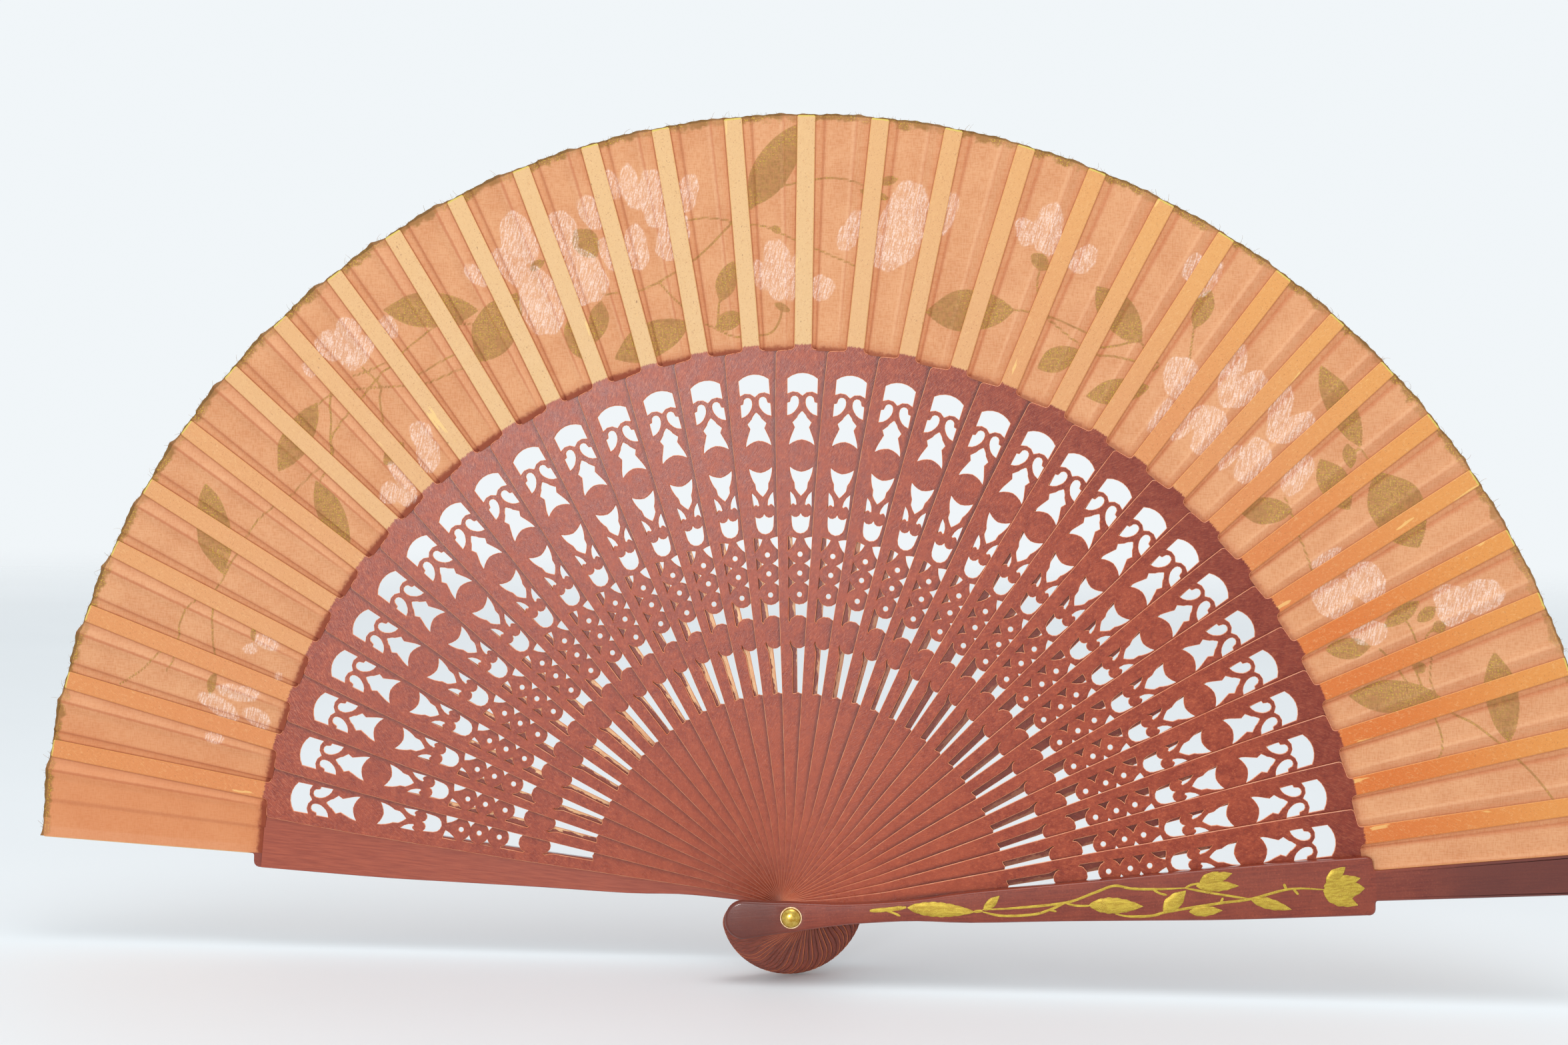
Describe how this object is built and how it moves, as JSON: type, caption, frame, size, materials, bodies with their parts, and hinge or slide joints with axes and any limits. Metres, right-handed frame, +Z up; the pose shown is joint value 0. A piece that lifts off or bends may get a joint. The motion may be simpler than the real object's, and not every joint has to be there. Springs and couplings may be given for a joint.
{
  "type": "folding hand fan",
  "caption": "Open pleated hand fan: pierced reddish wooden sticks and two guards turn on one rivet and carry a flower-painted orange cloth leaf.",
  "frame": {"origin": "on the rivet's axis, halfway through the stack of sticks", "axes": "+X to the viewer's right along the open fan, +Z up the open fan's middle line, -Y out of the decorated front"},
  "size_m": [0.4236, 0.0368, 0.2304],
  "materials": {
    "stick_wood": "satin, reddish-brown dye, pale ribs",
    "guard_wood": "smooth semi-gloss dye with a gold painted vine",
    "leaf_cloth": "thin plain-woven cotton, matt",
    "rivet_brass": "polished",
    "washer_metal": "satin"
  },
  "bodies": {
    "rear_guard": {"rear_guard": "guard_wood", "rivet": "rivet_brass", "front_washer": "washer_metal", "rear_washer": "washer_metal", "leaf": "leaf_cloth"},
    "stick_01": {"stick_01": "stick_wood"},
    "stick_02": {"stick_02": "stick_wood"},
    "stick_03": {"stick_03": "stick_wood"},
    "stick_04": {"stick_04": "stick_wood"},
    "stick_05": {"stick_05": "stick_wood"},
    "stick_06": {"stick_06": "stick_wood"},
    "stick_07": {"stick_07": "stick_wood"},
    "stick_08": {"stick_08": "stick_wood"},
    "stick_09": {"stick_09": "stick_wood"},
    "stick_10": {"stick_10": "stick_wood"},
    "stick_11": {"stick_11": "stick_wood"},
    "stick_12": {"stick_12": "stick_wood"},
    "stick_13": {"stick_13": "stick_wood"},
    "stick_14": {"stick_14": "stick_wood"},
    "stick_15": {"stick_15": "stick_wood"},
    "stick_16": {"stick_16": "stick_wood"},
    "stick_17": {"stick_17": "stick_wood"},
    "stick_18": {"stick_18": "stick_wood"},
    "stick_19": {"stick_19": "stick_wood"},
    "stick_20": {"stick_20": "stick_wood"},
    "stick_21": {"stick_21": "stick_wood"},
    "stick_22": {"stick_22": "stick_wood"},
    "stick_23": {"stick_23": "stick_wood"},
    "stick_24": {"stick_24": "stick_wood"},
    "stick_25": {"stick_25": "stick_wood"},
    "stick_26": {"stick_26": "stick_wood"},
    "stick_27": {"stick_27": "stick_wood"},
    "stick_28": {"stick_28": "stick_wood"},
    "stick_29": {"stick_29": "stick_wood"},
    "stick_30": {"stick_30": "stick_wood"},
    "stick_31": {"stick_31": "stick_wood"},
    "stick_32": {"stick_32": "stick_wood"},
    "front_guard": {"front_guard": "guard_wood"}
  },
  "joints": [
    {"name": "fan_spread", "type": "hinge", "parent": "rear_guard", "child": "front_guard", "pos_m": [0, 0, 0], "axis": [0, -1, 0], "range_deg": [0, 170.8], "deforming": ["leaf"]},
    {"name": "stick_01_swing", "type": "hinge", "parent": "rear_guard", "child": "stick_01", "pos_m": [0, 0, 0], "axis": [0, -1, 0], "range_deg": [0, 5.5]},
    {"name": "stick_02_swing", "type": "hinge", "parent": "rear_guard", "child": "stick_02", "pos_m": [0, 0, 0], "axis": [0, -1, 0], "range_deg": [0, 10.8]},
    {"name": "stick_03_swing", "type": "hinge", "parent": "rear_guard", "child": "stick_03", "pos_m": [0, 0, 0], "axis": [0, -1, 0], "range_deg": [0, 16.2]},
    {"name": "stick_04_swing", "type": "hinge", "parent": "rear_guard", "child": "stick_04", "pos_m": [0, 0, 0], "axis": [0, -1, 0], "range_deg": [0, 21.5]},
    {"name": "stick_05_swing", "type": "hinge", "parent": "rear_guard", "child": "stick_05", "pos_m": [0, 0, 0], "axis": [0, -1, 0], "range_deg": [0, 26.8]},
    {"name": "stick_06_swing", "type": "hinge", "parent": "rear_guard", "child": "stick_06", "pos_m": [0, 0, 0], "axis": [0, -1, 0], "range_deg": [0, 32.2]},
    {"name": "stick_07_swing", "type": "hinge", "parent": "rear_guard", "child": "stick_07", "pos_m": [0, 0, 0], "axis": [0, -1, 0], "range_deg": [0, 37.5]},
    {"name": "stick_08_swing", "type": "hinge", "parent": "rear_guard", "child": "stick_08", "pos_m": [0, 0, 0], "axis": [0, -1, 0], "range_deg": [0, 42.9]},
    {"name": "stick_09_swing", "type": "hinge", "parent": "rear_guard", "child": "stick_09", "pos_m": [0, 0, 0], "axis": [0, -1, 0], "range_deg": [0, 48.2]},
    {"name": "stick_10_swing", "type": "hinge", "parent": "rear_guard", "child": "stick_10", "pos_m": [0, 0, 0], "axis": [0, -1, 0], "range_deg": [0, 53.5]},
    {"name": "stick_11_swing", "type": "hinge", "parent": "rear_guard", "child": "stick_11", "pos_m": [0, 0, 0], "axis": [0, -1, 0], "range_deg": [0, 58.9]},
    {"name": "stick_12_swing", "type": "hinge", "parent": "rear_guard", "child": "stick_12", "pos_m": [0, 0, 0], "axis": [0, -1, 0], "range_deg": [0, 64.2]},
    {"name": "stick_13_swing", "type": "hinge", "parent": "rear_guard", "child": "stick_13", "pos_m": [0, 0, 0], "axis": [0, -1, 0], "range_deg": [0, 69.6]},
    {"name": "stick_14_swing", "type": "hinge", "parent": "rear_guard", "child": "stick_14", "pos_m": [0, 0, 0], "axis": [0, -1, 0], "range_deg": [0, 74.9]},
    {"name": "stick_15_swing", "type": "hinge", "parent": "rear_guard", "child": "stick_15", "pos_m": [0, 0, 0], "axis": [0, -1, 0], "range_deg": [0, 80.2]},
    {"name": "stick_16_swing", "type": "hinge", "parent": "rear_guard", "child": "stick_16", "pos_m": [0, 0, 0], "axis": [0, -1, 0], "range_deg": [0, 85.6]},
    {"name": "stick_17_swing", "type": "hinge", "parent": "rear_guard", "child": "stick_17", "pos_m": [0, 0, 0], "axis": [0, -1, 0], "range_deg": [0, 90.9]},
    {"name": "stick_18_swing", "type": "hinge", "parent": "rear_guard", "child": "stick_18", "pos_m": [0, 0, 0], "axis": [0, -1, 0], "range_deg": [0, 96.3]},
    {"name": "stick_19_swing", "type": "hinge", "parent": "rear_guard", "child": "stick_19", "pos_m": [0, 0, 0], "axis": [0, -1, 0], "range_deg": [0, 101.6]},
    {"name": "stick_20_swing", "type": "hinge", "parent": "rear_guard", "child": "stick_20", "pos_m": [0, 0, 0], "axis": [0, -1, 0], "range_deg": [0, 106.9]},
    {"name": "stick_21_swing", "type": "hinge", "parent": "rear_guard", "child": "stick_21", "pos_m": [0, 0, 0], "axis": [0, -1, 0], "range_deg": [0, 112.3]},
    {"name": "stick_22_swing", "type": "hinge", "parent": "rear_guard", "child": "stick_22", "pos_m": [0, 0, 0], "axis": [0, -1, 0], "range_deg": [0, 117.2]},
    {"name": "stick_23_swing", "type": "hinge", "parent": "rear_guard", "child": "stick_23", "pos_m": [0, 0, 0], "axis": [0, -1, 0], "range_deg": [0, 122.1]},
    {"name": "stick_24_swing", "type": "hinge", "parent": "rear_guard", "child": "stick_24", "pos_m": [0, 0, 0], "axis": [0, -1, 0], "range_deg": [0, 126.9]},
    {"name": "stick_25_swing", "type": "hinge", "parent": "rear_guard", "child": "stick_25", "pos_m": [0, 0, 0], "axis": [0, -1, 0], "range_deg": [0, 131.8]},
    {"name": "stick_26_swing", "type": "hinge", "parent": "rear_guard", "child": "stick_26", "pos_m": [0, 0, 0], "axis": [0, -1, 0], "range_deg": [0, 136.7]},
    {"name": "stick_27_swing", "type": "hinge", "parent": "rear_guard", "child": "stick_27", "pos_m": [0, 0, 0], "axis": [0, -1, 0], "range_deg": [0, 141.6]},
    {"name": "stick_28_swing", "type": "hinge", "parent": "rear_guard", "child": "stick_28", "pos_m": [0, 0, 0], "axis": [0, -1, 0], "range_deg": [0, 146.5]},
    {"name": "stick_29_swing", "type": "hinge", "parent": "rear_guard", "child": "stick_29", "pos_m": [0, 0, 0], "axis": [0, -1, 0], "range_deg": [0, 151.4]},
    {"name": "stick_30_swing", "type": "hinge", "parent": "rear_guard", "child": "stick_30", "pos_m": [0, 0, 0], "axis": [0, -1, 0], "range_deg": [0, 156.3]},
    {"name": "stick_31_swing", "type": "hinge", "parent": "rear_guard", "child": "stick_31", "pos_m": [0, 0, 0], "axis": [0, -1, 0], "range_deg": [0, 161.2]},
    {"name": "stick_32_swing", "type": "hinge", "parent": "rear_guard", "child": "stick_32", "pos_m": [0, 0, 0], "axis": [0, -1, 0], "range_deg": [0, 166.1]}
  ],
  "couplings": [
    {"joint": "stick_01_swing", "follows": "fan_spread", "ratio": 0.03126},
    {"joint": "stick_02_swing", "follows": "fan_spread", "ratio": 0.06252},
    {"joint": "stick_03_swing", "follows": "fan_spread", "ratio": 0.09378},
    {"joint": "stick_04_swing", "follows": "fan_spread", "ratio": 0.12504},
    {"joint": "stick_05_swing", "follows": "fan_spread", "ratio": 0.1563},
    {"joint": "stick_06_swing", "follows": "fan_spread", "ratio": 0.18757},
    {"joint": "stick_07_swing", "follows": "fan_spread", "ratio": 0.21883},
    {"joint": "stick_08_swing", "follows": "fan_spread", "ratio": 0.25009},
    {"joint": "stick_09_swing", "follows": "fan_spread", "ratio": 0.28135},
    {"joint": "stick_10_swing", "follows": "fan_spread", "ratio": 0.31261},
    {"joint": "stick_11_swing", "follows": "fan_spread", "ratio": 0.34387},
    {"joint": "stick_12_swing", "follows": "fan_spread", "ratio": 0.37513},
    {"joint": "stick_13_swing", "follows": "fan_spread", "ratio": 0.40639},
    {"joint": "stick_14_swing", "follows": "fan_spread", "ratio": 0.43765},
    {"joint": "stick_15_swing", "follows": "fan_spread", "ratio": 0.46891},
    {"joint": "stick_16_swing", "follows": "fan_spread", "ratio": 0.50018},
    {"joint": "stick_17_swing", "follows": "fan_spread", "ratio": 0.53144},
    {"joint": "stick_18_swing", "follows": "fan_spread", "ratio": 0.5627},
    {"joint": "stick_19_swing", "follows": "fan_spread", "ratio": 0.59396},
    {"joint": "stick_20_swing", "follows": "fan_spread", "ratio": 0.62522},
    {"joint": "stick_21_swing", "follows": "fan_spread", "ratio": 0.65648},
    {"joint": "stick_22_swing", "follows": "fan_spread", "ratio": 0.68511},
    {"joint": "stick_23_swing", "follows": "fan_spread", "ratio": 0.71373},
    {"joint": "stick_24_swing", "follows": "fan_spread", "ratio": 0.74236},
    {"joint": "stick_25_swing", "follows": "fan_spread", "ratio": 0.77099},
    {"joint": "stick_26_swing", "follows": "fan_spread", "ratio": 0.79961},
    {"joint": "stick_27_swing", "follows": "fan_spread", "ratio": 0.82824},
    {"joint": "stick_28_swing", "follows": "fan_spread", "ratio": 0.85687},
    {"joint": "stick_29_swing", "follows": "fan_spread", "ratio": 0.88549},
    {"joint": "stick_30_swing", "follows": "fan_spread", "ratio": 0.91412},
    {"joint": "stick_31_swing", "follows": "fan_spread", "ratio": 0.94275},
    {"joint": "stick_32_swing", "follows": "fan_spread", "ratio": 0.97137}
  ]
}
